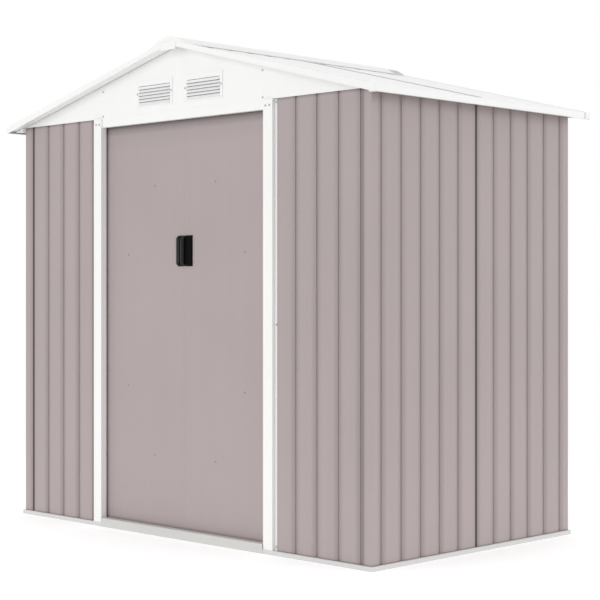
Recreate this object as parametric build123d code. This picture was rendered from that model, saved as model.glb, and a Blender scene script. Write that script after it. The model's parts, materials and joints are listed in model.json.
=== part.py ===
"""Metal storage shed: ribbed sheet walls, apex roof and a pair of sliding doors.

Millimetres, +Z up, +X to the right seen from the front, +Y to the back.
The origin lies on the ground under the middle of the shed.
"""
import os
from math import hypot

from build123d import *

# Ribbed sheet that makes the walls and the roof
RIB_PITCH = 101.5
FRONT_PITCHES = 19
SIDE_PITCHES = 11
PANEL_PITCHES = 6
FRONT_PANEL_PITCHES = 4
WRAP_SHARE = 0.5
SHEET = 1.2
GROOVE_DEPTH = 8.0
GROOVE_MOUTH = 40.0
CREASE_DEPTH = 3.5
CREASE_MOUTH = 8.0
CREASE_FLOOR = 4.0
SEAM_EDGE = 10.0
SEAM_FOOT = 8.0
LAP_LIP = 4.0

# Turn that takes a front right piece to the back left, in degrees
HALF_TURN = 180

# Fits between pieces
FIT = 0.3
DOOR_CLEARANCE = 6.0
MEETING_GAP = 5.0

# Outline of the walls
WALL_W = FRONT_PITCHES * RIB_PITCH
WALL_D = SIDE_PITCHES * RIB_PITCH
GABLE_Z = 1600.0
PANEL_RISE = 3.0

# Base rail: foot, nose that the walls stand on, and the upstand behind them
NOSE_OUT = 8.0
NOSE_H = 16.0
UPSTAND_H = 33.0
FOOT_IN = 40.0
GUIDE_BACK_H = 30.0

# Roof, whose eaves are level with the lower edge of the gables
ROOF_RISE = 254.0
EAVE_OUT = 60.0
VERGE_OUT = 54.0
RIDGE_GAP = 6.0
FASCIA_H = 19.0
SOFFIT_RISE = 3.0
SOFFIT_GAP = 3.0
EAVE_FASCIA_DROP = 22.0
TRIM_FLANGE = 26.0
EAVE_LIP = 12.0
RIDGE_CAP_TOP_HALF = 55.0
RIDGE_CAP_SIDE = 43.0
RIDGE_CAP_FOOT = 10.0
RIDGE_CAP_RISE = 12.0
RIDGE_TAB_HALF = 42.0
RIDGE_TAB_DROP = 36.0
RIDGE_BEAM_HALF = 20.0
RIDGE_BEAM_H = 35.0

# Doorway and its frame, with heights below or above the gables' lower edge
JAMB_LAP = 5.0
JAMB_TROUGH = 13.5
JAMB_TONGUE = 12.5
JAMB_FACE_W = 46.5
JAMB_PROUD = 6.0
JAMB_BACK = 20.0
JAMB_RETURN = 12.0
HEADER_DROP = 34.0
HEADER_LAP = 25.0
HEADER_UPTURN = 12.0
SILL_SET_BACK = 2.0
NOTCH_ROOM = 7.0

# Top rails and the door track
RAIL_RISE = 6.0
RAIL_FLANGE = 35.0
TRACK_ROOM = 10.2
TRACK_FLOOR_DROP = 17.0
TRACK_LIP_DROP = 6.0

# Sliding door leaf
LEAF_DEPTH = 18.0
LEAF_OVERLAP = 28.0
LEAF_BOTTOM = 12.0
LEAF_DROP = 24.0
MEETING_REBATE = 20.0
MEETING_LIP = 12.0

# Runner that hangs the leaf on the track, and the guide shoe below
RUNNER_INSET = 72.0
RUNNER_LENGTH = 40.0
RUNNER_CHEEK = 4.5
RUNNER_PLAY = 1.5
RUNNER_CAP = 5.0
RUNNER_DROP = 7.0
SHOE_PLAY = 1.5

# Handle halves: tapered plates hollowed as finger cups, with a grip on the left one; taper in degrees
HANDLE_HALF_W = 46.0
HANDLE_FOOT = 1017.0
HANDLE_H = 116.0
HANDLE_PROUD = 7.0
HANDLE_TAPER = 35
HANDLE_RIM = 9.0
HANDLE_CORNER = 15.0
CUP_DEPTH = 5.5
GRIP_WALL = 3.0
GRIP_PROUD = 16.0
GRIP_ROUND = 8.0

# Louvred vents in the gables
VENT_INNER = 34.0
VENT_W = 208.0
VENT_RISE = 27.0
VENT_H_SHARE = 0.394
VENT_HEAD = 21.0
VENT_FOOT = 7.5
VENT_SIDE = 14.0
VENT_PLATE = 2.5
LOUVRES = 6
LOUVRE_SHEET = 1.6
LOUVRE_OUT = 4.0
LOUVRE_TOP_SHARE = 0.12
LOUVRE_DROP_SHARE = 0.88

# Values that follow from the ones above
HALF_W = WALL_W / 2
HALF_D = WALL_D / 2
WRAP = WRAP_SHARE * RIB_PITCH
HALF_MOUTH = GROOVE_MOUTH / 2
HALF_CREASE = CREASE_MOUTH / 2
HALF_FLOOR = CREASE_FLOOR / 2
SKIN_BACK = GROOVE_DEPTH + SHEET
PANEL_TOP = GABLE_Z + PANEL_RISE
EAVE_X = HALF_W + EAVE_OUT
VERGE_Y = HALF_D + VERGE_OUT
RIDGE_Z = GABLE_Z + ROOF_RISE
SLOPE = ROOF_RISE / EAVE_X
LAYER = SHEET * hypot(1, SLOPE)
VERGE_LAYER = LAYER + SHEET
EAVE_FASCIA_BOTTOM = GABLE_Z - EAVE_FASCIA_DROP
RIDGE_CAP_HALF = RIDGE_CAP_TOP_HALF + RIDGE_CAP_SIDE
RIDGE_CAP_EDGE = RIDGE_CAP_HALF + RIDGE_CAP_FOOT
PANEL_EDGE = HALF_W - WRAP - FRONT_PANEL_PITCHES * RIB_PITCH
JAMB_SIDE = PANEL_EDGE - JAMB_LAP
JAMB_OUTER = PANEL_EDGE + JAMB_TROUGH - SEAM_EDGE + SEAM_FOOT - FIT
JAMB_INNER = JAMB_SIDE - JAMB_FACE_W
HEADER_BOTTOM = GABLE_Z - HEADER_DROP
HEADER_TOP = GABLE_Z + HEADER_LAP
SILL_H = UPSTAND_H + SHEET
SILL_BACK = JAMB_BACK + SILL_SET_BACK
UPSTAND_NOTCH = JAMB_INNER + JAMB_RETURN + NOTCH_ROOM
LEAF_FRONT = SILL_BACK + DOOR_CLEARANCE
LEAF_BACK = LEAF_FRONT + LEAF_DEPTH
LEAF_OUTER = JAMB_INNER + LEAF_OVERLAP
LEAF_TOP = GABLE_Z - LEAF_DROP
HALF_GAP = MEETING_GAP / 2
GUIDE_BACK = LEAF_BACK + DOOR_CLEARANCE + SHEET
RAIL_LEG_BOTTOM = HEADER_BOTTOM + SHEET + FIT
RAIL_TOP = GABLE_Z + RAIL_RISE
TRACK_BACK = LEAF_BACK + TRACK_ROOM
TRACK_LIP = LEAF_FRONT + LEAF_DEPTH / 2
TRACK_FLOOR_Z = GABLE_Z - TRACK_FLOOR_DROP
TRACK_LIP_Z = GABLE_Z - TRACK_LIP_DROP
RUNNER_X = (RUNNER_INSET, LEAF_OUTER - RUNNER_INSET)
HANDLE_Z = (HANDLE_FOOT, HANDLE_FOOT + HANDLE_H)
CUP_X = (HALF_GAP + GRIP_WALL, HANDLE_HALF_W - HANDLE_RIM)
CUP_Z = (HANDLE_Z[0] + HANDLE_RIM, HANDLE_Z[1] - HANDLE_RIM)
VENT_X = (VENT_INNER, VENT_INNER + VENT_W)
VENT_Z = (GABLE_Z + VENT_RISE, GABLE_Z + VENT_RISE + VENT_H_SHARE * ROOF_RISE)


def mitred(line, thickness):
    """Closed outline of a folded sheet: the line and its parallel, thickness to the left."""
    normals = []
    for (a, b), (c, d) in zip(line, line[1:]):
        length = hypot(c - a, d - b)
        normals.append(((b - d) / length, (c - a) / length))
    parallel = []
    for (a, b), before, after in zip(line, [normals[0]] + normals, normals + [normals[-1]]):
        share = thickness / (1 + before[0] * after[0] + before[1] * after[1])
        parallel.append((a + share * (before[0] + after[0]), b + share * (before[1] + after[1])))
    return line + parallel[::-1]


def prism(outline, run):
    """Solid of a flat outline in space, carried along the vector run."""
    run = Vector(*run)
    face = make_face(Polyline(*outline, close=True))
    return extrude(face, amount=run.length, dir=run.normalized())


def block(x, y, z):
    """Box between three pairs of limits."""
    size = (x[1] - x[0], y[1] - y[0], z[1] - z[0])
    return Pos((x[0] + x[1]) / 2, (y[0] + y[1]) / 2, (z[0] + z[1]) / 2) * Box(*size)


def left_of(part):
    return mirror(part, about=Plane.YZ)


def back_of(part):
    return mirror(part, about=Plane.XZ)


def opposite_of(part):
    """Part turned half round: on the left and at the back."""
    return Rot(0, 0, HALF_TURN) * part


def inward(v):
    """Y of a point v behind the outer face of the front wall."""
    return v - HALF_D


def roof_z(x):
    """Height of the top of the roof sheet's crests."""
    return RIDGE_Z - SLOPE * abs(x)


def along_front(line, thickness, half_length):
    """Folded sheet along the front wall from a section of (v, z) points."""
    outline = [(-half_length, inward(v), z) for v, z in mitred(line, thickness)]
    return prism(outline, (2 * half_length, 0, 0))


def along_side(line, thickness, y_from, y_to):
    """Folded sheet along the right wall from a section of (x, z) points."""
    outline = [(x, y_from, z) for x, z in mitred(line, thickness)]
    return prism(outline, (0, y_to - y_from, 0))


def down_slope(outline, x_from, x_to):
    """Solid carried down the right roof slope from a closed outline of (y, height over the crests)."""
    points = [(x_from, y, roof_z(x_from) + h) for y, h in outline]
    return prism(points, (x_to - x_from, 0, roof_z(x_to) - roof_z(x_from)))


def falling(c, depth):
    """Section from the crest down a shallow flank into the crease of the groove at c."""
    return [(c - HALF_MOUTH, 0), (c - HALF_CREASE, CREASE_DEPTH), (c - HALF_FLOOR, depth)]


def rising(c, depth):
    return [(c + HALF_FLOOR, depth), (c + HALF_CREASE, CREASE_DEPTH), (c + HALF_MOUTH, 0)]


def groove(c):
    return falling(c, GROOVE_DEPTH) + rising(c, GROOVE_DEPTH)


def under(c):
    """End of a sheet whose tongue runs under the next sheet at the groove c."""
    return falling(c, GROOVE_DEPTH) + [(c + SEAM_EDGE, GROOVE_DEPTH)]


def over(c):
    """End of a sheet that folds down steeply and rests its lip on the tongue."""
    depth = GROOVE_DEPTH - SHEET
    return [(c - SEAM_EDGE, 0), (c - SEAM_FOOT, depth), (c - SEAM_FOOT + LAP_LIP, depth)]


def beside_jamb(c):
    """End of a sheet that folds down steeply and runs on as a tongue behind the jamb."""
    crest = c - JAMB_TROUGH
    foot = crest + SEAM_EDGE - SEAM_FOOT
    return [(crest, 0), (foot, GROOVE_DEPTH), (c + JAMB_TONGUE, GROOVE_DEPTH)]


def starting(end, c):
    """Start of a sheet: one of the ends above, turned about the groove c."""
    return [(2 * c - s, d) for s, d in reversed(end(c))]


def ribbed(start, pitches, first, last):
    """Section of a panel from groove to groove: (distance along, depth) points."""
    line = starting(first, start)
    for i in range(1, pitches):
        line += groove(start + i * RIB_PITCH)
    return line + last(start + pitches * RIB_PITCH)


def upright(plan, top):
    """Wall panel that stands on the base rail, from its plan line."""
    outline = [(x, y, NOSE_H) for x, y in mitred(plan, SHEET)]
    return prism(outline, (0, 0, top - NOSE_H))


# Walls
def side_panel(front_end, middle_end):
    """Front half of the right wall, bent round the corner on to the front."""
    plan = []
    corner_done = False
    for s, d in ribbed(-WRAP, PANEL_PITCHES, front_end, middle_end):
        if s > 0 and not corner_done:
            plan.append((HALF_W, -HALF_D))
            corner_done = True
        plan.append((HALF_W + s, inward(d)) if s < 0 else (HALF_W - d, inward(s)))
    return upright(plan, PANEL_TOP)


def front_panel(corner_end):
    """Panel between the right jamb and the corner."""
    line = ribbed(PANEL_EDGE, FRONT_PANEL_PITCHES, beside_jamb, corner_end)
    return upright([(s, inward(d)) for s, d in line], PANEL_TOP)


def back_panel(index, first, last):
    """Panel of the back wall, counted from the right corner."""
    start = WRAP + index * PANEL_PITCHES * RIB_PITCH
    line = ribbed(start, PANEL_PITCHES, first, last)
    return upright([(HALF_W - s, HALF_D - d) for s, d in line], PANEL_TOP)


# Base
def base_line(foot):
    line = [(SKIN_BACK, UPSTAND_H), (SKIN_BACK, NOSE_H), (-NOSE_OUT, NOSE_H), (-NOSE_OUT, 0)]
    return line + foot


def front_sector():
    """Plan area of the front base rail, cut at the corners' mitres."""
    x = HALF_W + NOSE_OUT
    y = HALF_D + NOSE_OUT
    return prism([(-x, -y, 0), (x, -y, 0), (x - y, 0, 0), (y - x, 0, 0)], (0, 0, UPSTAND_H))


def side_sector():
    x = HALF_W + NOSE_OUT
    y = HALF_D + NOSE_OUT
    return prism([(x, -y, 0), (x, y, 0), (x - y, 0, 0)], (0, 0, UPSTAND_H))


def base_front():
    """Front rail: it carries the door guide and opens its upstand in the doorway."""
    line = base_line([(GUIDE_BACK, 0), (GUIDE_BACK, GUIDE_BACK_H)])
    rail = along_front(line, SHEET, HALF_W + NOSE_OUT) & front_sector()
    notch_y = (inward(SKIN_BACK), inward(SKIN_BACK + SHEET))
    return rail - block((-UPSTAND_NOTCH, UPSTAND_NOTCH), notch_y, (NOSE_H, UPSTAND_H))


def base_back():
    rail = along_front(base_line([(FOOT_IN, 0)]), SHEET, HALF_W + NOSE_OUT)
    return back_of(rail & front_sector())


def base_side():
    line = [(HALF_W - v, z) for v, z in base_line([(FOOT_IN, 0)])]
    reach = HALF_D + NOSE_OUT
    return along_side(line, -SHEET, -reach, reach) & side_sector()


def door_sill():
    face = -NOSE_OUT - SHEET
    line = [(face, 0), (face, SILL_H), (SILL_BACK, SILL_H), (SILL_BACK, SHEET + FIT)]
    return along_front(line, -SHEET, JAMB_INNER - FIT)


# Doorway
def jamb():
    """Right jamb: flange on the wall sheet's tongue, face proud of the wall, reveal and return."""
    seat = GROOVE_DEPTH - SHEET
    line = [(JAMB_OUTER, seat), (JAMB_SIDE, seat), (JAMB_SIDE, -JAMB_PROUD)]
    line += [(JAMB_INNER, -JAMB_PROUD), (JAMB_INNER, JAMB_BACK), (JAMB_INNER + JAMB_RETURN, JAMB_BACK)]
    outline = [(x, inward(v), NOSE_H) for x, v in mitred(line, -SHEET)]
    post = prism(outline, (0, 0, GABLE_Z - FIT - NOSE_H))
    head = block((0, JAMB_INNER + JAMB_RETURN), (inward(0), inward(JAMB_BACK)), (HEADER_BOTTOM, GABLE_Z))
    return post - head


def door_header():
    upturn = HEADER_BOTTOM + HEADER_UPTURN
    line = [(0, HEADER_TOP), (0, HEADER_BOTTOM), (JAMB_BACK, HEADER_BOTTOM), (JAMB_BACK, upturn)]
    return along_front(line, SHEET, JAMB_INNER - FIT)


# Top rails
def front_top_rail():
    """Rail over the front wall, folded down and up behind as the door track."""
    line = [(SKIN_BACK, RAIL_LEG_BOTTOM), (SKIN_BACK, RAIL_TOP), (TRACK_BACK, RAIL_TOP)]
    line += [(TRACK_BACK, TRACK_FLOOR_Z), (TRACK_LIP, TRACK_FLOOR_Z), (TRACK_LIP, TRACK_LIP_Z)]
    return along_front(line, -SHEET, HALF_W - SKIN_BACK)


def back_top_rail():
    line = [(SKIN_BACK, RAIL_LEG_BOTTOM), (SKIN_BACK, RAIL_TOP), (SKIN_BACK + RAIL_FLANGE, RAIL_TOP)]
    return back_of(along_front(line, -SHEET, HALF_W - SKIN_BACK))


def side_top_rail():
    x = HALF_W - SKIN_BACK
    inner = x - RAIL_FLANGE
    line = [(x, RAIL_LEG_BOTTOM), (x, roof_z(x) - SKIN_BACK), (inner, roof_z(inner) - SKIN_BACK)]
    return along_side(line, SHEET, inward(TRACK_BACK), HALF_D - SKIN_BACK - RAIL_FLANGE)


# Gables
def gable_half():
    """Right half of the front gable, open behind its vent."""
    top = [(x, roof_z(x) - SHEET) for x in (HALF_W, 0)]
    outline = [(x, inward(-SHEET), z) for x, z in [(0, GABLE_Z), (HALF_W, GABLE_Z)] + top]
    sheet = prism(outline, (0, SHEET, 0))
    hole_x = (VENT_X[0] + VENT_SIDE, VENT_X[1] - VENT_SIDE)
    hole_z = (VENT_Z[0] + VENT_FOOT, VENT_Z[1] - VENT_HEAD)
    return sheet - block(hole_x, (inward(-SHEET), inward(0)), hole_z)


def vent():
    """Right front vent: a border with slanted louvres across it."""
    back = -SHEET
    front = back - VENT_PLATE
    inner_x = (VENT_X[0] + VENT_SIDE, VENT_X[1] - VENT_SIDE)
    inner_z = (VENT_Z[0] + VENT_FOOT, VENT_Z[1] - VENT_HEAD)
    y = (inward(front), inward(back))
    part = block(VENT_X, y, VENT_Z) - block(inner_x, y, inner_z)
    pitch = (inner_z[1] - inner_z[0]) / LOUVRES
    for i in range(LOUVRES):
        top = inner_z[1] - (i + LOUVRE_TOP_SHARE) * pitch
        line = [(back, top), (front - LOUVRE_OUT, top - LOUVRE_DROP_SHARE * pitch)]
        outline = [(inner_x[0], inward(v), z) for v, z in mitred(line, LOUVRE_SHEET)]
        part += prism(outline, (inner_x[1] - inner_x[0], 0, 0))
    return part


# Roof
def roof_sheet_front():
    """Front sheet of the right slope: cut on a crest at the verge, lapped under in the middle."""
    line = [(SHEET - VERGE_Y, 0)]
    for i in range(1, PANEL_PITCHES):
        line += groove((i - PANEL_PITCHES) * RIB_PITCH)
    return sloped_sheet(line + under(0))


def roof_sheet_back():
    line = starting(over, 0)
    for i in range(1, PANEL_PITCHES):
        line += groove(i * RIB_PITCH)
    return sloped_sheet(line + [(VERGE_Y - SHEET, 0)])


def sloped_sheet(line):
    outline = mitred([(s, -d) for s, d in line], -SHEET)
    return down_slope(outline, RIDGE_GAP, EAVE_X - SHEET)


def verge_trim():
    """Front trim of the right slope: a flange over the sheets' edge, a fascia and a soffit under it."""
    low = VERGE_LAYER - FASCIA_H
    line = [(TRIM_FLANGE - VERGE_Y, VERGE_LAYER), (-VERGE_Y, VERGE_LAYER), (-VERGE_Y, low)]
    soffit = [(-VERGE_Y, low), (inward(-SHEET - SOFFIT_GAP), low + SOFFIT_RISE)]
    trim = down_slope(mitred(line, SHEET), 0, EAVE_X)
    return trim + down_slope(mitred(soffit, SHEET), 0, EAVE_X - EAVE_LIP)


def eave_trim():
    inner = EAVE_X - TRIM_FLANGE
    line = [(inner, roof_z(inner) + LAYER), (EAVE_X, roof_z(EAVE_X) + LAYER)]
    line += [(EAVE_X, EAVE_FASCIA_BOTTOM), (EAVE_X - EAVE_LIP, EAVE_FASCIA_BOTTOM)]
    return along_side(line, -SHEET, SHEET - VERGE_Y, VERGE_Y - SHEET)


def ridge_cap():
    """Raised cap over the ridge, closed at each end by a plate with a tab over the trims' joint."""
    lift = VERGE_LAYER
    end = VERGE_Y + SHEET
    rise = {0: RIDGE_CAP_RISE, RIDGE_CAP_TOP_HALF: RIDGE_CAP_RISE, RIDGE_CAP_HALF: 0, RIDGE_CAP_EDGE: 0}
    right = [(x, roof_z(x) + lift + up) for x, up in rise.items()]
    cap = along_side([(-x, z) for x, z in right[:0:-1]] + right, SHEET, -end, end)
    crown = [(-x, z) for x, z in right[2:0:-1]] + right[:3]
    plate = prism([(x, -end, z) for x, z in crown + [(0, RIDGE_Z + lift)]], (0, SHEET, 0))
    tab_z = (RIDGE_Z - RIDGE_TAB_DROP, roof_z(RIDGE_TAB_HALF) + lift + SHEET)
    tab = block((-RIDGE_TAB_HALF, RIDGE_TAB_HALF), (-end, -VERGE_Y), tab_z)
    return cap + plate + tab + back_of(plate + tab)


def ridge_beam():
    half = RIDGE_BEAM_HALF
    top = roof_z(half) - SKIN_BACK
    line = [(-half, top - RIDGE_BEAM_H), (-half, top), (half, top), (half, top - RIDGE_BEAM_H)]
    return along_side(line, -SHEET, -HALF_D, HALF_D)


# Doors
def leaf_shell(meeting_wall):
    """Right leaf: a sheet with folded edges, its meeting wall set at a given distance."""
    y = (inward(LEAF_FRONT), inward(LEAF_BACK))
    pocket_y = (inward(LEAF_FRONT + SHEET), inward(LEAF_BACK))
    z = (LEAF_BOTTOM, LEAF_TOP)
    shell = block((HALF_GAP, LEAF_OUTER), y, z)
    pocket_x = (meeting_wall + SHEET, LEAF_OUTER - SHEET)
    return shell - block(pocket_x, pocket_y, (LEAF_BOTTOM + SHEET, LEAF_TOP - SHEET))


def door_right():
    """Leaf whose meeting edge covers the other leaf's lip."""
    rebate_y = (inward(LEAF_FRONT + SHEET), inward(LEAF_BACK))
    return leaf_shell(MEETING_REBATE) - block((0, MEETING_REBATE), rebate_y, (LEAF_BOTTOM, LEAF_TOP))


def door_left():
    lip_front = LEAF_FRONT + SHEET + MEETING_GAP
    lip_y = (inward(lip_front), inward(lip_front + SHEET))
    lip = block((-HALF_GAP - SHEET, MEETING_LIP), lip_y, (LEAF_BOTTOM, LEAF_TOP))
    return left_of(leaf_shell(HALF_GAP)) + lip


def handle(outline):
    """Right handle half from the whole handle's outline: a tapered plate with a finger cup."""
    front = LEAF_FRONT - HANDLE_PROUD
    seat = Plane((0, inward(LEAF_FRONT), HANDLE_FOOT + HANDLE_H / 2), x_dir=(1, 0, 0), z_dir=(0, -1, 0))
    plate = extrude(seat * outline, amount=HANDLE_PROUD, taper=HANDLE_TAPER)
    plate &= block((HALF_GAP, HANDLE_HALF_W), (inward(front), inward(LEAF_FRONT)), HANDLE_Z)
    return plate - block(CUP_X, (inward(front), inward(front + CUP_DEPTH)), CUP_Z)


def grip():
    """Wall that stands out along the meeting edge of a handle half."""
    y = (inward(LEAF_FRONT - GRIP_PROUD), inward(LEAF_FRONT))
    wall = block((HALF_GAP, CUP_X[0]), y, CUP_Z)
    return fillet(wall.edges().filter_by(Axis.X).group_by(Axis.Y)[0], GRIP_ROUND)


def runner(x):
    """Hook that hangs on the track's lip and stands on the top of the leaf."""
    seat = TRACK_LIP_Z + FIT
    neck = TRACK_LIP - SHEET - RUNNER_PLAY
    back = TRACK_LIP + RUNNER_PLAY
    top = seat + RUNNER_CAP
    cheek_low = TRACK_LIP_Z - RUNNER_DROP
    hook = [(neck - RUNNER_CHEEK, LEAF_TOP), (neck, LEAF_TOP), (neck, seat), (back, seat), (back, cheek_low)]
    hook += [(back + RUNNER_CHEEK, cheek_low), (back + RUNNER_CHEEK, top), (neck - RUNNER_CHEEK, top)]
    start = x - RUNNER_LENGTH / 2
    return prism([(start, inward(v), z) for v, z in hook], (RUNNER_LENGTH, 0, 0))


def shoe(x):
    """Guide shoe under the leaf, between the sill and the back of the front rail."""
    y = (inward(SILL_BACK + SHOE_PLAY), inward(GUIDE_BACK - SHEET - SHOE_PLAY))
    z = (SHEET + SHOE_PLAY, LEAF_BOTTOM)
    return block((x - RUNNER_LENGTH / 2, x + RUNNER_LENGTH / 2), y, z)


def runners():
    return Compound([solid for x in RUNNER_X for solid in (runner(x).solid(), shoe(x).solid())])


def vents_front():
    right = vent()
    return Compound([right.solid(), left_of(right).solid()])


NODES = {
    "base_rail_front": base_front(),
    "base_rail_back": base_back(),
    "base_rail_right": base_side(),
    "base_rail_left": left_of(base_side()),
    "door_sill": door_sill(),
    "wall_right_front": side_panel(over, over),
    "wall_right_back": back_of(side_panel(under, under)),
    "wall_left_front": left_of(side_panel(under, under)),
    "wall_left_back": opposite_of(side_panel(under, over)),
    "wall_front_right": front_panel(under),
    "wall_front_left": left_of(front_panel(over)),
    "wall_back_right": back_panel(0, over, under),
    "wall_back_middle": back_panel(1, over, over),
    "wall_back_left": back_panel(2, under, over),
    "jamb_right": jamb(),
    "jamb_left": left_of(jamb()),
    "door_header": door_header(),
    "top_rail_front": front_top_rail(),
    "top_rail_back": back_top_rail(),
    "top_rail_right": side_top_rail(),
    "top_rail_left": left_of(side_top_rail()),
    "gable_front_right": gable_half(),
    "gable_front_left": left_of(gable_half()),
    "gable_back_right": back_of(gable_half()),
    "gable_back_left": opposite_of(gable_half()),
    "vents_front": vents_front(),
    "vents_back": back_of(vents_front()),
    "roof_right_front": roof_sheet_front(),
    "roof_right_back": roof_sheet_back(),
    "roof_left_front": left_of(roof_sheet_front()),
    "roof_left_back": left_of(roof_sheet_back()),
    "ridge_beam": ridge_beam(),
    "ridge_cap": ridge_cap(),
    "verge_trim_front_right": verge_trim(),
    "verge_trim_front_left": left_of(verge_trim()),
    "verge_trim_back_right": back_of(verge_trim()),
    "verge_trim_back_left": opposite_of(verge_trim()),
    "eave_trim_right": eave_trim(),
    "eave_trim_left": left_of(eave_trim()),
    "door_right": door_right(),
    "door_left": door_left(),
    "handle_right": handle(Rectangle(2 * HANDLE_HALF_W, HANDLE_H)),
    "handle_left": left_of(handle(RectangleRounded(2 * HANDLE_HALF_W, HANDLE_H, HANDLE_CORNER)) + grip()),
    "runners_right": runners(),
    "runners_left": left_of(runners()),
}

os.makedirs("parts", exist_ok=True)
for name, part in NODES.items():
    export_step(part, f"parts/{name}.step")
    print(name, round(part.volume))
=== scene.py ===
# %% [markdown]
# A metal garden shed, dressed for its portrait.
#
# The shed arrives as a imported frame of folded sheet pieces that already have their true shapes.
# What is left to do here is what a painter and a fitter would do: give every sheet its coat, put
# the screws in, fix the braces behind the doors, seal the roof, and light it all. All lengths are
# in metres.

import json
import math

import bmesh
import bpy
import numpy as np
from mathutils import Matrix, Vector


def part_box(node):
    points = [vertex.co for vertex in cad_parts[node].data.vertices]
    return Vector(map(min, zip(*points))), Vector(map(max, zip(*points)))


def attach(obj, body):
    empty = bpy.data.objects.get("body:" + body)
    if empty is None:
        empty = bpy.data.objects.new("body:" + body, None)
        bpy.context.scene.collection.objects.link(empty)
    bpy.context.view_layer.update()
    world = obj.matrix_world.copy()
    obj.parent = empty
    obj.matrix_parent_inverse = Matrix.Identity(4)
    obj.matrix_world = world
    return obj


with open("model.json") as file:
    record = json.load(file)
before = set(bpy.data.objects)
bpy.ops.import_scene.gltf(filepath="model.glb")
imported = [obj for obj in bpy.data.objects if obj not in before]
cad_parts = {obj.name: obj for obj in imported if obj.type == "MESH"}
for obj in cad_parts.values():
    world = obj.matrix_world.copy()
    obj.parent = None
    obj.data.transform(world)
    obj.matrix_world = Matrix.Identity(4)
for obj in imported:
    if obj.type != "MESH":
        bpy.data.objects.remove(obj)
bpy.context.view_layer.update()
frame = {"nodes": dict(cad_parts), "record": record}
print("pieces in the frame:", len(frame["nodes"]))

# %% [markdown]
# ## Sums in a node tree
#
# A material can work out numbers from a point's place on the shed. Three helpers let a formula be
# written here nearly as on paper: one adds a single sum to a node tree, one multiplies a row of
# factors, and one maps a range of numbers to another range.

# %% Three node helpers


def calc(tree, operation, *inputs):
    """Output of one Math node; each input is a number or the output of another node."""
    node = tree.nodes.new("ShaderNodeMath")
    node.operation = operation
    for socket, given in zip(node.inputs, inputs):
        if isinstance(given, (int, float)):
            socket.default_value = given
        else:
            tree.links.new(given, socket)
    return node.outputs["Value"]


def product(tree, factors):
    """first x second x third and so on, with one Math node for each multiplication."""
    total = factors[0]
    for factor in factors[1:]:
        total = calc(tree, "MULTIPLY", total, factor)
    return total


def ramp(tree, value, start, end, low, high, curve="LINEAR"):
    """low + (high - low) (value - start) / (end - start), held at low and high outside of it."""
    node = tree.nodes.new("ShaderNodeMapRange")
    node.interpolation_type = curve
    tree.links.new(value, node.inputs["Value"])
    labels = ("From Min", "From Max", "To Min", "To Max")
    for label, number in zip(labels, (start, end, low, high)):
        node.inputs[label].default_value = number
    return node.outputs["Result"]


print("node helpers: calc, product, ramp")

# %% [markdown]
# ## Coats of paint
#
# Every sheet of the real shed is coil-coated steel: a thin, even film with a very fine pebbled
# surface that is called orange peel. A flat colour would look like card, so the coat gets faint
# irregularities: wide clouds in the colour, soft streaks that run down the sheet, a fine grain in
# the gloss, and the pebbled bump. All are read from Object coordinates, so they stay where they
# are on the sheet from any side. One function builds the node tree, and the finishes differ only
# in their numbers. A finish can also pass a shade, a factor that depends on the place.

# %% A node tree for coated sheet
CLOUDS, STREAKS, GRAIN, PEBBLES = 2.2, 26, 40, 520  # scales of the four noise fields
DOWNWARD = (1, 1, 0.03)  # draws a field out along z
NOISE_RANGE = (0.3, 0.7)  # where most values of a noise field lie
ROUGH_SWING, PEBBLE_HEIGHT = 0.05, 0.0004


def noise(tree, place, scale, stretch=(1, 1, 1), detail=2):
    """Noise field of a given scale, stretched along the axes."""
    mapping = tree.nodes.new("ShaderNodeMapping")
    mapping.inputs["Scale"].default_value = stretch
    tree.links.new(place, mapping.inputs["Vector"])
    field = tree.nodes.new("ShaderNodeTexNoise")
    field.inputs["Scale"].default_value = scale
    field.inputs["Detail"].default_value = detail
    tree.links.new(mapping.outputs["Vector"], field.inputs["Vector"])
    return field.outputs["Fac"]


def coat(name, colour, rough, cloud, streak=0.0, peel=0.05, metal=0.0, gloss=0.5, shade=None):
    """Colour x (1 +- cloud) x (1 +- streak) x shade(x, y, z), grained roughness, pebbled bump."""
    material = bpy.data.materials.new(name)
    material.use_nodes = True
    tree = material.node_tree
    shader = tree.nodes["Principled BSDF"]
    shader.inputs["Metallic"].default_value = metal
    shader.inputs["Specular IOR Level"].default_value = gloss
    place = tree.nodes.new("ShaderNodeTexCoord").outputs["Object"]
    clouds = noise(tree, place, CLOUDS, detail=3)
    streaks = noise(tree, place, STREAKS, DOWNWARD)
    factors = [ramp(tree, clouds, *NOISE_RANGE, 1 - cloud, 1 + cloud),
               ramp(tree, streaks, *NOISE_RANGE, 1 - streak, 1 + streak)]
    if shade:
        axes = tree.nodes.new("ShaderNodeSeparateXYZ")
        tree.links.new(place, axes.inputs["Vector"])
        factors.append(shade(tree, *axes.outputs))
    tint = tree.nodes.new("ShaderNodeVectorMath")
    tint.operation = "SCALE"
    tint.inputs[0].default_value = colour
    tree.links.new(product(tree, factors), tint.inputs["Scale"])
    tree.links.new(tint.outputs["Vector"], shader.inputs["Base Color"])
    grain = noise(tree, place, GRAIN)
    grained = ramp(tree, grain, *NOISE_RANGE, rough - ROUGH_SWING, rough + ROUGH_SWING)
    tree.links.new(grained, shader.inputs["Roughness"])
    bump = tree.nodes.new("ShaderNodeBump")
    bump.inputs["Strength"].default_value = peel
    bump.inputs["Distance"].default_value = PEBBLE_HEIGHT
    tree.links.new(noise(tree, place, PEBBLES, detail=1), bump.inputs["Height"])
    tree.links.new(bump.outputs["Normal"], shader.inputs["Normal"])
    return material


print("scales of clouds, streaks, grain and pebbles:", CLOUDS, STREAKS, GRAIN, PEBBLES)
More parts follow.
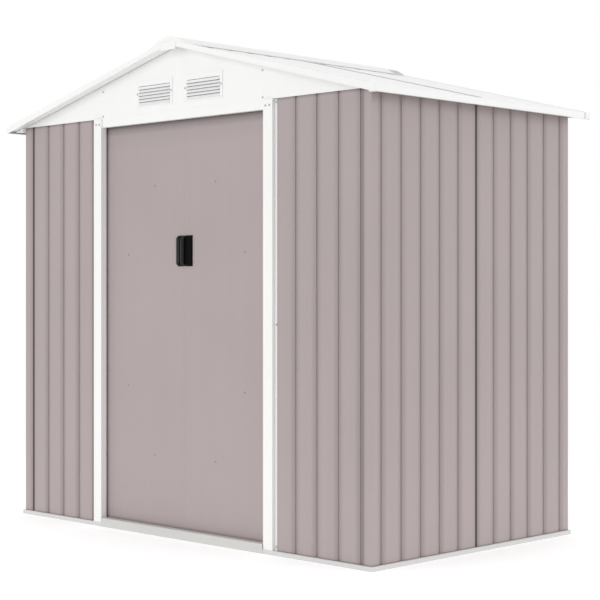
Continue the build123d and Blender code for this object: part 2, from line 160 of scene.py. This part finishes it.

# %% [markdown]
# ## Painted shade in the folds
#
# The sheets are folded at an even pitch, and shade is painted into the folds, so the paint looks
# darker there, except at the very bottom of a fold, which is painted lighter. The distance to the
# nearest fold is a triangle wave of the place along the wall: along x on the front and back, along
# y on the sides. Where one sheet laps over the next, a painted shadow makes a narrow band beside
# the fold darker still, and painted shadow also darkens the foot and the head of the walls, where
# the sheets stand on the base and go behind the gables.

# %% Painted shade of the folded walls
PITCH = 0.1015  # from one fold to the next
LONG_WALL, SHORT_WALL = 0.5537, 0.9597  # distance of the walls from the middle of the shed
RIB_DEPTH = 0.0055  # how far a point of a wall may lie off that distance
CORNER = 0.546  # a point at a larger distance along y is on the front or the back
# A lap gives the middle of its band, half the band's width, and the painted shadow in it.
FRONT_LAPS = [(9 * PITCH + 0.009, 0.009, 0.70), (-9 * PITCH + 0.002, 0.0085, 0.40)]
BACK_LAPS = [(side * (n * PITCH - 0.006), 0.005, 0.45) for side in (1, -1) for n in (9, 3)]
SIDE_LAPS = [(side, (-side * 0.0015, 0.0085, 0.42)) for side in (-1, 1)]
# A ramp gives the start and end of its range, and the shade at either.
# Painted shade on the flanks of a fold, painted light at its very bottom, painted shadow at foot
# and head.
FOLD_FLANK_SHADE, FOLD_BOTTOM_LIGHT = (0.005, 0.025, 0.78, 1.0), (0.002, 0.005, 1.32, 1.0)
WALL_FOOT, WALL_HEAD = (0.016, 0.021, 0.55, 1.0), (1.588, 1.599, 1.0, 0.6)


def marked(tree, there, dark):
    """1 + there (dark - 1): dark where there is 1, and 1 where it is 0."""
    return calc(tree, "MULTIPLY_ADD", there, dark - 1.0, 1.0)


def lap_band(tree, along, across, wall, middle, half, dark):
    """Painted shadow: dark within half of the middle of a lap on the wall at the given distance, 1
    elsewhere.
    """
    near_lap = calc(tree, "COMPARE", along, middle, half)
    on_wall = calc(tree, "COMPARE", across, wall, RIB_DEPTH)
    return marked(tree, calc(tree, "MULTIPLY", near_lap, on_wall), dark)


def fold_shade(tree, x, y, z):
    """Painted shade: product of the folds' triangle wave, the lap bands, and dark edges at foot and
    head.
    """
    long_wall = calc(tree, "GREATER_THAN", calc(tree, "ABSOLUTE", y), CORNER)
    short_wall = calc(tree, "SUBTRACT", 1.0, long_wall)
    along_x, along_y = calc(tree, "MULTIPLY", x, long_wall), calc(tree, "MULTIPLY", y, short_wall)
    reach = calc(tree, "PINGPONG", calc(tree, "ADD", along_x, along_y), PITCH / 2)
    shades = [ramp(tree, reach, *FOLD_FLANK_SHADE), ramp(tree, reach, *FOLD_BOTTOM_LIGHT)]
    shades += [lap_band(tree, x, y, -LONG_WALL, *lap) for lap in FRONT_LAPS]
    shades += [lap_band(tree, x, y, LONG_WALL, *lap) for lap in BACK_LAPS]
    shades += [lap_band(tree, y, x, side * SHORT_WALL, *lap) for side, lap in SIDE_LAPS]
    shades += [ramp(tree, z, *WALL_FOOT), ramp(tree, z, *WALL_HEAD)]
    return product(tree, shades)


print("laps marked:", len(FRONT_LAPS + BACK_LAPS + SIDE_LAPS))

# %% [markdown]
# ## Painted shade of the doors and the roof
#
# The doors hang behind the frame, so a painted shadow makes them darker under the header that
# overhangs them, and at the sill. The roof has folds like the walls, with painted shade in them,
# and a lap in the middle, where the back sheet lies over the front one and a painted shadow marks
# its edge.

# %% Painted shade of doors and roof
# Painted shadow on the doors, under the header and at the sill.
DOOR_HEAD, BELOW_HEAD = (1.530, 1.566, 1.0, 0.50), (1.460, 1.540, 1.0, 0.93)
DOOR_FOOT = (0.034, 0.046, 0.75, 1.0)
# Painted shade in the roof's folds, and a painted shadow line along its lap.
ROOF_FOLD_SHADE = (0.004, 0.022, 0.74, 1.0)
ROOF_LAP, LAP_HALF, LAP_DARK = -0.011, 0.0045, 0.55


def door_shade(tree, x, y, z):
    """Painted shadow: product of three ramps along z, two towards the header and one towards the
    sill.
    """
    return product(tree, [ramp(tree, z, *edge) for edge in (DOOR_HEAD, BELOW_HEAD, DOOR_FOOT)])


def roof_shade(tree, x, y, z):
    """Painted shade: the folds' triangle wave along y, times a painted shadow line along the lap
    before the middle.
    """
    folds = ramp(tree, calc(tree, "PINGPONG", y, PITCH / 2), *ROOF_FOLD_SHADE)
    lap = marked(tree, calc(tree, "COMPARE", y, ROOF_LAP, LAP_HALF), LAP_DARK)
    return product(tree, [folds, lap])


print("roof lap at y =", ROOF_LAP)

# %% [markdown]
# ## Painted shade and highlights on small pieces
#
# Painted shade darkens the back end of the ridge cap, and a painted shadow line crosses the eave
# trims at the joint at their back. Painted highlights on the black handle make its rim and the wall
# of its grip paler than the cup between them. Each mark is a comparison of one coordinate with a
# named place.

# %% Painted shade and highlights of cap, eaves and grip
# Painted shade on the cap's sides at its back end.
CAP_SIDE, CAP_SIDE_HALF, CAP_BACK, CAP_DARK = 0.0775, 0.0205, 0.552, 0.55
# Painted shadow line at the eave trims' back joint.
EAVE_JOINT, JOINT_HALF, JOINT_DARK = 0.584, 0.004, 0.65
# Painted highlights on the rim and the grip's wall of the left handle half.
GRIP_RIM, GRIP_WALL, RIM_HIGHLIGHT, WALL_HIGHLIGHT = -0.0335, -0.0065, 13.0, 8.0


def cap_shade(tree, x, y, z):
    """Painted shade on the steep sides of the ridge cap at its back end."""
    on_side = calc(tree, "COMPARE", calc(tree, "ABSOLUTE", x), CAP_SIDE, CAP_SIDE_HALF)
    at_back = calc(tree, "GREATER_THAN", y, CAP_BACK)
    return marked(tree, calc(tree, "MULTIPLY", on_side, at_back), CAP_DARK)


def eave_shade(tree, x, y, z):
    """A painted shadow line across the eave trims where the back edge trims meet them."""
    return marked(tree, calc(tree, "COMPARE", y, EAVE_JOINT, JOINT_HALF), JOINT_DARK)


def grip_highlight(tree, x, y, z):
    """Painted highlight: 1 plus the rim's factor on the rim, 1 plus the wall's factor on the grip's
    wall, 1 in the cup between.
    """
    on_rim = calc(tree, "LESS_THAN", x, GRIP_RIM)
    on_wall = calc(tree, "GREATER_THAN", x, GRIP_WALL)
    paler = calc(tree, "MULTIPLY_ADD", on_wall, WALL_HIGHLIGHT, 1.0)
    return calc(tree, "MULTIPLY_ADD", on_rim, RIM_HIGHLIGHT, paler)


print("painted shade from y =", CAP_BACK, "on the cap and at y =", EAVE_JOINT, "on the eaves")

# %% [markdown]
# ## One finish for each slot
#
# The record groups the pieces by finish: taupe walls and doors, white trims and roof, white
# moulded vents, pale coated base rails, bare zinc on the rails inside, black plastic at the
# handles and nylon at the runners. Each slot gets one coat.

# %% Finishes by slot
TAUPE = (0.403, 0.341, 0.340)
TRIM_WHITE = {"colour": (0.89, 0.89, 0.88), "rough": 0.40, "cloud": 0.008, "streak": 0.006}
finishes = {
    "wall_paint": coat("taupe_wall", TAUPE, 0.42, 0.015, streak=0.012, shade=fold_shade),
    "door_paint": coat("taupe_door", TAUPE, 0.40, 0.02, streak=0.008, shade=door_shade),
    "trim_paint": coat("white_trim", **TRIM_WHITE),
    "roof_paint": coat("white_roof", (0.95, 0.95, 0.95), 0.42, 0.012, streak=0.01,
                       shade=roof_shade),
    "vent_plastic": coat("white_vent", (0.88, 0.88, 0.88), 0.5, 0.008, peel=0.08),
    "base_coat": coat("pale_base", (0.64, 0.635, 0.63), 0.4, 0.02),
    "rail_zinc": coat("zinc", (0.62, 0.63, 0.65), 0.38, 0.1, streak=0.05, metal=0.9),
    # Black plastic with painted highlights on the left handle half.
    "handle_plastic": coat("black_grip", (0.007, 0.007, 0.007), 0.5, 0.1, peel=0.2, gloss=0.1,
                           shade=grip_highlight),
    "runner_plastic": coat("nylon", (0.72, 0.72, 0.69), 0.5, 0.02, peel=0.1),
}
print("finishes:", ", ".join(sorted(finishes)))

# %% [markdown]
# Every node takes the coat of its slot. A few differ a little from it: the ridge cap and the eave
# trims, which have some painted shade; the sill, a darker copy of the base coat for painted shade;
# and the cup of the right handle half, a darker, matt copy for painted shade, where the left half
# has painted highlights.

# %% Coat every node
eave_finish = coat("white_eave", **TRIM_WHITE, shade=eave_shade)
own_finishes = {
    "ridge_cap": coat("white_cap", **TRIM_WHITE, shade=cap_shade),
    "eave_trim_right": eave_finish,
    "eave_trim_left": eave_finish,
    # Painted shade: a darker, matt copy of the black plastic for the right handle half.
    "handle_right": coat("shaded_black_cup", (0.005, 0.005, 0.005), 0.6, 0.1, peel=0.2, gloss=0.05),
    # Painted shade: a darker copy of the pale base coat for the sill.
    "door_sill": coat("shaded_sill", (0.61, 0.605, 0.59), 0.4, 0.03),
}
for entry in frame["record"]["subparts"]:
    mesh = frame["nodes"][entry["node"]].data
    mesh.materials.clear()
    mesh.materials.append(own_finishes.get(entry["node"], finishes[entry["material_slot"]]))
print("nodes with a finish of their own:", ", ".join(sorted(own_finishes)))

# %% [markdown]
# ## A mesh from arrays
#
# Every added piece is a surface worked out with numpy: rows of points, each row joined to the
# next. A helper turns a stack of such grids into one mesh and lets the piece ride on its body, so
# that a rivet in a door slides with it.

# %% Grids to one mesh
MERGE = 1e-6  # points nearer than this become one


def grid_faces(rows, columns, count):
    """Quads between neighbouring closed rows of rows x columns grids, for count grids in turn."""
    r, c = np.meshgrid(np.arange(rows - 1), np.arange(columns), indexing="ij")
    this, beside = r * columns + c, r * columns + (c + 1) % columns
    quad = np.stack([this, beside, beside + columns, this + columns], -1)
    shift = np.arange(count)[:, None, None] * rows * columns
    return (quad.reshape(1, -1, 4) + shift).reshape(-1, 4)


def surface(name, grids, capped, slot, body, material=None):
    """One object of (count, rows, columns, 3) grids with closed rows, capped at both ends if asked.

    A grid whose faces look inward has its columns turned round, and points that coincide merge.
    """
    count, rows, columns, _ = grids.shape
    quads = grids.reshape(count, -1, 3)[:, grid_faces(rows, columns, 1)]
    normals = np.cross(quads[:, :, 2] - quads[:, :, 0], quads[:, :, 3] - quads[:, :, 1])
    reach = quads.mean(2) - quads.mean((1, 2))[:, None]
    inside_out = (normals * reach).sum((1, 2)) < 0
    grids = np.where(inside_out[:, None, None, None], grids[:, :, ::-1], grids)
    faces = grid_faces(rows, columns, count).tolist()
    if capped:
        first = np.arange(columns) + np.arange(count)[:, None] * rows * columns
        faces += first[:, ::-1].tolist() + (first + (rows - 1) * columns).tolist()
    mesh = bpy.data.meshes.new(name)
    mesh.from_pydata(grids.reshape(-1, 3).tolist(), [], faces)
    merged = bmesh.new()
    merged.from_mesh(mesh)
    bmesh.ops.remove_doubles(merged, verts=merged.verts, dist=MERGE)
    merged.to_mesh(mesh)
    merged.free()
    mesh.materials.append(material or finishes[slot])
    piece = bpy.data.objects.new(name, mesh)
    bpy.context.scene.collection.objects.link(piece)
    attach(piece, body)
    print(name, len(mesh.polygons), "faces")


print("points merge within", MERGE, "m")

# %% [markdown]
# ## Screws
#
# Short sheet screws hold the jambs to the wall sheets, the gables to the header and the vents to
# the gables. A pan head is a shape of revolution, so its profile of radius and height is turned
# round the screw's axis. All the screws of one kind are computed at once: the turned profile is
# added to each screw's seat by broadcasting.

# %% Pan heads
ROUNDED, UPRIGHT = 0.28, 0.35  # rounded share of the radius, upright share of the height
RECESS = np.array([(0.3, 1.0), (0.26, 0.62), (0.0, 0.62)])  # radius and height in the drive
TURNS = 14


def pan_heads(seats, out, radius, height):
    """Points seat + r(t) (cos a u + sin a w) + h(t) out, with a rounded shoulder profile r, h."""
    out = np.array(out, float)
    u = np.array((1.0, 0, 0))
    w = np.cross(out, u)
    t = np.linspace(0, math.pi / 2, 5)
    shoulder_r, shoulder_h = 1 - ROUNDED + ROUNDED * np.cos(t), UPRIGHT + (1 - UPRIGHT) * np.sin(t)
    r = np.concatenate([[0.0, 1.0], shoulder_r, RECESS[:, 0]]) * radius
    h = np.concatenate([[0.0, 0.0], shoulder_h, RECESS[:, 1]]) * height
    a = np.linspace(0, 2 * math.pi, TURNS, endpoint=False)
    ring = np.cos(a)[:, None] * u + np.sin(a)[:, None] * w
    head = r[:, None, None] * ring + (h[:, None] * out)[:, None, :]
    return np.array(seats, float)[:, None, None, :] + head


print("points round a head:", TURNS)

# %% [markdown]
# The seats follow from the frame's own boxes, so each head lies flat on its sheet. The gables and
# vents have the same screws at the back. The heads are of a duller white than the trims, which
# lets them show as small grey dots.

# %% Screws of the frame, the gables and the vents
FORWARD, BACKWARD = (0, -1, 0), (0, 1, 0)
JAMB_HEAD, GABLE_HEAD = (0.0042, 0.0022), (0.0040, 0.0020)  # radius and height
FLANGE_DEPTH, FLANGE_MIDDLE, FLANGE_Z = 0.0068, 0.007, (1.588, 0.808, 0.030)
FACE_X, FACE_Z = (0.468, 0.4875), 1.578
GABLE_X, GABLE_Z = 0.449, (1.705, 1.609)
VENT_X, VENT_RIM = (0.040, 0.236), 0.0025
dull_white = coat("screw_white", (0.5, 0.5, 0.5), 0.35, 0.03)
jamb_low, jamb_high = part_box("jamb_right")
flange_x = jamb_high.x - FLANGE_MIDDLE
flange_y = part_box("wall_front_right")[0].y + FLANGE_DEPTH
gable_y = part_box("gable_front_right")[0].y
vent_low, vent_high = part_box("vents_front")
vent_z = 0.5 * (vent_low.z + vent_high.z)
flange_seats = [(s * flange_x, flange_y, z) for s in (-1, 1) for z in FLANGE_Z]
face_seats = [(s * x, jamb_low.y, FACE_Z) for s in (-1, 1) for x in FACE_X]
gable_seats = [(s * GABLE_X, gable_y, z) for s in (-1, 1) for z in GABLE_Z]
vent_seats = [(s * x, gable_y - VENT_RIM, vent_z) for s in (-1, 1) for x in VENT_X]
front_seats = np.array(gable_seats + vent_seats)
back_seats = front_seats * (1, -1, 1)
for name, seats, out, head in (
    ("jamb_screws", flange_seats + face_seats, FORWARD, JAMB_HEAD),
    ("gable_screws_front", front_seats, FORWARD, GABLE_HEAD),
    ("gable_screws_back", back_seats, BACKWARD, GABLE_HEAD),
):
    surface(name, pan_heads(seats, out, *head), False, "trim_paint", "shell", dull_white)

# %% [markdown]
# ## Braces behind the doors
#
# Two slanting rows of dots cross each door: they are the rivets of diagonal braces, thin channels
# fixed inside the leaf from its meeting corners to the middle of its outer edge. The section of a
# channel is one polyline, doubled by the thickness of its sheet; it is carried along the straight
# line of the brace, and the other three braces are its mirror images.

# %% Channels in the leaves
CHANNEL = np.array([(-18, 13), (-11, 13), (-9, 0), (9, 0), (11, 13), (18, 13)]) / 1000
CHANNEL_SHEET = 0.0008
BEHIND_LEAF = 0.0013  # from the leaf's front, just clear of its sheet
BRACE_TOP, BRACE_END = (0.0406, 1.545), (0.455, 0.8543)  # x and z
BRACE_RUN, BRACE_FALL = 0.156, 0.260  # slant of a brace, from rivet to rivet
LEAF_MIRROR = 1.626  # z of a point and of its mirror image add up to this


def carried(profile, start, end, across, inward):
    """Points start + t (end - start) + w across + d inward of a profile (w, d), at t = 0 and 1."""
    ends = np.array([start, end], float)
    sideways = profile[:, :1] * np.array(across, float)
    return ends[:, None, :] + sideways + profile[:, 1:] * np.array(inward, float)


leaf_low, leaf_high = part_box("door_right")
leaf_front = leaf_low.y
behind = leaf_front + BEHIND_LEAF
strip = np.concatenate([CHANNEL, (CHANNEL + (0, CHANNEL_SHEET))[::-1]])
run, fall = np.array((BRACE_RUN, BRACE_FALL)) / math.hypot(BRACE_RUN, BRACE_FALL)
top, end = [(x, behind, z) for x, z in (BRACE_TOP, BRACE_END)]
upper = carried(strip, top, end, (fall, 0, run), (0, 1, 0))
lower = upper * (1, 1, -1) + (0, 0, LEAF_MIRROR)
braces = np.stack([upper, lower])
print("braces in a leaf:", len(braces))

# %% [markdown]
# Each brace is held by two flat rivets, whose heads show on the front of the leaf. They are pan
# heads again, lower than a screw's, in a darker shade of the doors' paint. Both leaves get their
# braces and rivets in one loop, the left one as the mirror image of the right one.

# %% Braces and rivets on both doors
RIVETS = ((0.172, 1.326), (0.328, 1.066), (0.328, 0.560), (0.172, 0.300))  # x and z
RIVET_HEAD = (0.0036, 0.0012)
taupe_rivet = coat("taupe_rivet", (0.30, 0.26, 0.257), 0.4, 0.02)
for side, body in ((1, "right_door"), (-1, "left_door")):
    surface(body + "_braces", braces * (side, 1, 1), True, "rail_zinc", body)
    rivets = pan_heads([(side * x, leaf_front, z) for x, z in RIVETS], FORWARD, *RIVET_HEAD)
    surface(body + "_rivets", rivets, False, "door_paint", body, taupe_rivet)

# %% [markdown]
# ## Meeting seal
#
# Closed, the two leaves look like one sheet: no dark line shows between them. A soft strip of the
# doors' colour fills the gap. It is a flat-fronted bead, fixed to the left leaf and carried up its
# whole edge.

# %% Bead along the meeting edge
SEAL_HALF, SEAL_DEPTH = 0.0024, 0.004
SEAL_PLACE = (-0.0001, 0.0002)  # middle of its flat front: along x, and behind the leaves' front


def half_ellipse(half, height):
    """Points (half cos a, height sin a) for a from 0 to 180 degrees."""
    a = np.linspace(0, math.pi, 9)
    return np.stack([half * np.cos(a), height * np.sin(a)], -1)


bead = half_ellipse(SEAL_HALF, SEAL_DEPTH) + SEAL_PLACE
foot, head = [(0, leaf_front, z) for z in (leaf_low.z, leaf_high.z)]
seal = carried(bead, foot, head, (1, 0, 0), (0, 1, 0))
surface("meeting_seal", seal[None], True, "door_paint", "left_door")

# %% [markdown]
# ## Edges of the roof
#
# At the gables, the white facing of the roof's edge is a little deeper at the eaves than at the
# ridge: a flat strip whose lower edge falls away along the slope. The slope itself is read from
# the box of an edge trim.

# %% Facings on the edges
EDGE_HEIGHT, DEEPER = 0.019, 0.008  # height of a facing at the ridge, and what the eave adds
STEP, SUNK = 0.0010, 0.0004  # how far a facing stands out from its trim, and goes into it
FACING_START = 0.0435  # from the ridge
QUARTERS = [(side, face) for side in (-1, 1) for face in (-1, 1)]
verge_low, verge_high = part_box("verge_trim_front_right")
verge_face = abs(verge_low.y)
pitch_of_roof = (verge_high.z - verge_low.z - EDGE_HEIGHT) / verge_high.x


def down_roof(x, lift):
    """Height, at the distance x from the ridge, of a line that lies lift over the trims' top."""
    return verge_high.z + lift - pitch_of_roof * x


def facing(side, face):
    """Strip over the trim's face: four points at the ridge, and four at the eave, DEEPER there."""
    ends = np.array([FACING_START, verge_high.x])
    top, low = down_roof(ends, -SUNK), down_roof(ends, -EDGE_HEIGHT) - DEEPER * ends / verge_high.x
    near, far = face * (verge_face + STEP), face * (verge_face - SUNK)
    corners = [(near, top), (far, top), (far, low), (near, low)]
    return np.stack([np.stack([side * ends, np.full(2, y), z], -1) for y, z in corners], 1)


facings = np.stack([facing(*quarter) for quarter in QUARTERS])
surface("verge_facings", facings, True, "trim_paint", "shell")

# %% [markdown]
# ## Hems and beads of the roof
#
# Halfway along each slope the back sheet lies over the front one, and its edge is turned up into
# a low hem, grey as a painted shadow of the lap. The hem is a half-round profile carried down the
# slope. A thin bead of sealant, of the same half-round kind, closes the slit where the edge trims
# lie on the sheets, and a grey one, a painted shadow line, runs along both feet of the ridge cap.

# %% Half-rounds on the roof
HEM, SEALANT, CAP_BEAD = (0.0028, 0.0034), (0.0015, 0.0026), (0.0024, 0.0032)  # half width, height
RIB_TOP = -0.0027  # the half-rounds' foot, from the edge trims' top
FLANGE = 0.0267  # width of the edge trims' flange on the roof
CAP_MARGIN, EAVE_MARGIN, CAP_BEAD_OUT = 0.003, 0.030, 0.001
cap_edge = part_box("ridge_cap")[1].x
slope_ends = (cap_edge + CAP_MARGIN, verge_high.x - EAVE_MARGIN)
flange_edge = verge_face - FLANGE
# Grey of the lap hems and the cap's beads: a painted shadow line.
shadow_grey = coat("shadow_grey", (0.58, 0.58, 0.58), 0.5, 0.05)


def half_round(side, y, profile):
    """Half-ellipse carried down one slope at y, its foot just under the ribs' top."""
    top, foot = [(side * x, y, down_roof(x, RIB_TOP)) for x in slope_ends]
    return carried(half_ellipse(*profile), top, foot, (0, 1, 0), (0, 0, 1))


def cap_bead(side):
    """Half-ellipse carried along one foot of the ridge cap, from flange to flange."""
    profile = half_ellipse(*CAP_BEAD) + (CAP_BEAD_OUT, 0)
    height = down_roof(cap_edge, RIB_TOP)
    front, back = [(side * cap_edge, y, height) for y in (-flange_edge, flange_edge)]
    return carried(profile, front, back, (side, 0, 0), (0, 0, 1))


hems = np.stack([half_round(side, ROOF_LAP, HEM) for side in (-1, 1)])
surface("roof_lap_hems", hems, True, "roof_paint", "shell", shadow_grey)
seals = np.stack([half_round(side, face * flange_edge, SEALANT) for side, face in QUARTERS])
surface("verge_seals", seals, True, "trim_paint", "shell")
cap_seals = np.stack([cap_bead(side) for side in (-1, 1)])
surface("cap_seals", cap_seals, True, "roof_paint", "shell", shadow_grey)

# %% [markdown]
# ## Ends of the eaves
#
# Beside each corner of the walls, a small white plug closes the hollow between the wall and the
# eave trim. Its front has four corners: the lower two just over the foot of the trim, the upper
# two just under the soffit of the roof's edge.

# %% Plugs at the four eave ends
PLUG_GAP, PLUG_INSET, PLUG_FOOT = 0.0004, 0.0016, 0.0050  # off the wall, the tip and the foot
SOFFIT = -0.0182  # from the edge trims' top
PLUG_FACES = (0.015, -0.002)  # outer and inner face, from the end of the wall
wall_low, wall_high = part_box("wall_right_front")
eave_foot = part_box("eave_trim_right")[0].z


def eave_end(side, face):
    """Plug as two rows of four corners, one row on its outer face and one on its inner face."""
    near, far, foot = wall_high.x + PLUG_GAP, verge_high.x - PLUG_INSET, eave_foot + PLUG_FOOT
    tops = [(x, down_roof(x, SOFFIT)) for x in (far, near)]
    corners = [(near, foot), (far, foot), *tops]
    depths = [face * (abs(wall_low.y) + out) for out in PLUG_FACES]
    return np.array([[(side * x, y, z) for x, z in corners] for y in depths])


plugs = np.stack([eave_end(*quarter) for quarter in QUARTERS])
surface("eave_ends", plugs, True, "trim_paint", "shell")

# %% [markdown]
# ## Floor
#
# The shed stands on a pale floor, as in a catalogue. The floor is a disc of a few rings whose
# material fades to nothing before the rim, so that no edge shows against the white around it.

# %% A disc that fades out
FLOOR_RINGS, FLOOR_TURNS = np.array((0.0, 1.0, 2.0, 4.0)), 96
FLOOR_FADE = (1.3, 3.4, 1.0, 0.0)  # opaque up to the first distance, clear from the second
FLOOR_COLOUR, FLOOR_ROUGH, FLOOR_GLOW = (0.9, 0.9, 0.9, 1), 0.9, 0.3
WHITE = (1, 1, 1, 1)
scene = bpy.context.scene


def fading_floor(name):
    """Pale, faintly glowing material; its alpha falls smoothly with distance from the middle."""
    material = bpy.data.materials.new(name)
    material.use_nodes = True
    tree = material.node_tree
    shader = tree.nodes["Principled BSDF"]
    shader.inputs["Base Color"].default_value = FLOOR_COLOUR
    shader.inputs["Roughness"].default_value = FLOOR_ROUGH
    shader.inputs["Emission Color"].default_value = WHITE
    shader.inputs["Emission Strength"].default_value = FLOOR_GLOW
    length = tree.nodes.new("ShaderNodeVectorMath")
    length.operation = "LENGTH"
    tree.links.new(tree.nodes.new("ShaderNodeTexCoord").outputs["Object"], length.inputs[0])
    fade = ramp(tree, length.outputs["Value"], *FLOOR_FADE, curve="SMOOTHSTEP")
    tree.links.new(fade, shader.inputs["Alpha"])
    return material


a = np.linspace(0, 2 * math.pi, FLOOR_TURNS, endpoint=False)
around = np.stack([np.cos(a), np.sin(a), np.zeros(FLOOR_TURNS)], -1)
disc = FLOOR_RINGS[:, None, None] * around
floor_faces = grid_faces(len(FLOOR_RINGS), FLOOR_TURNS, 1)[:, ::-1]
floor_mesh = bpy.data.meshes.new("floor")
floor_mesh.from_pydata(disc.reshape(-1, 3).tolist(), [], floor_faces.tolist())
floor_mesh.materials.append(fading_floor("pale_floor"))
floor = bpy.data.objects.new("floor", floor_mesh)
scene.collection.objects.link(floor)
print("floor:", len(floor_mesh.polygons), "faces")

# %% [markdown]
# ## Dome
#
# Even light comes from a white dome that fills every side, a little brighter behind the shed than
# before it. The camera itself sees plain white, so the dome has two backgrounds: one for the
# light, and one for the camera's own rays.

# %% World with two backgrounds
AWAY = (-0.70, 0.71, 0.0)  # from the camera towards the shed
DOME_LIGHT = (0.0, 0.9, 0.75, 1.1)
scene.view_settings.view_transform = "Standard"
world = bpy.data.worlds.new("dome")
scene.world = world
world.use_nodes = True
sky = world.node_tree
light, backdrop = sky.nodes["Background"], sky.nodes.new("ShaderNodeBackground")
light.inputs["Color"].default_value = backdrop.inputs["Color"].default_value = WHITE
backdrop.inputs["Strength"].default_value = 1.0
behind_shed = sky.nodes.new("ShaderNodeVectorMath")
behind_shed.operation = "DOT_PRODUCT"
behind_shed.inputs[1].default_value = AWAY
sky.links.new(sky.nodes.new("ShaderNodeTexCoord").outputs["Generated"], behind_shed.inputs[0])
brightness = ramp(sky, behind_shed.outputs["Value"], *DOME_LIGHT)
sky.links.new(brightness, light.inputs["Strength"])
seen = sky.nodes.new("ShaderNodeMixShader")
sky.links.new(sky.nodes.new("ShaderNodeLightPath").outputs["Is Camera Ray"], seen.inputs["Fac"])
sky.links.new(light.outputs["Background"], seen.inputs[1])
sky.links.new(backdrop.outputs["Background"], seen.inputs[2])
sky.links.new(seen.outputs["Shader"], sky.nodes["World Output"].inputs["Surface"])
print("dome strength:", DOME_LIGHT[2], "to", DOME_LIGHT[3])

# %% [markdown]
# ## Panels
#
# Two large soft panels, one before each visible wall, give the crests of the sheet a little more
# light than their flanks. A panel is a square lamp that is turned to face the shed.

# %% Two soft panels
PANEL_TARGET, PANEL_SIZE, PANEL_POWER = (0, 0, 0.9), 3.0, 60


def panel(name, place):
    """A square lamp at place that faces PANEL_TARGET: tilted from straight down, then turned."""
    lamp = bpy.data.lights.new(name, "AREA")
    lamp.size = PANEL_SIZE
    lamp.energy = PANEL_POWER
    holder = bpy.data.objects.new(name, lamp)
    scene.collection.objects.link(holder)
    x, y, z = np.array(PANEL_TARGET, float) - np.array(place, float)
    holder.location = place
    holder.rotation_euler = (math.atan2(math.hypot(x, y), -z), 0, math.atan2(y, x) - math.pi / 2)
    print(name, "at", place)


panel("front_panel", (-0.8, -5.0, 2.4))
panel("side_panel", (5.4, 0.6, 2.4))

# %% [markdown]
# ## Camera
#
# A level camera a little above half height, turned 44.5 degrees: upright lines stay upright, as
# they do in the photograph. The small shift moves the frame without tilting the camera.

# %% Camera at the photograph's view
VIEW_PLACE, VIEW_ANGLE, VIEW_SHIFT = (4.4459, -4.4376, 0.9362), 21.523, -0.02
LEVEL, VIEW_TURN = 90, 44.507  # degrees
view = bpy.data.cameras.new("view")
view.angle = math.radians(VIEW_ANGLE)
view.shift_y = VIEW_SHIFT
camera = bpy.data.objects.new("view", view)
camera.location = VIEW_PLACE
camera.rotation_euler = (math.radians(LEVEL), 0, math.radians(VIEW_TURN))
scene.collection.objects.link(camera)
scene.camera = camera
print("camera turned", VIEW_TURN, "degrees")
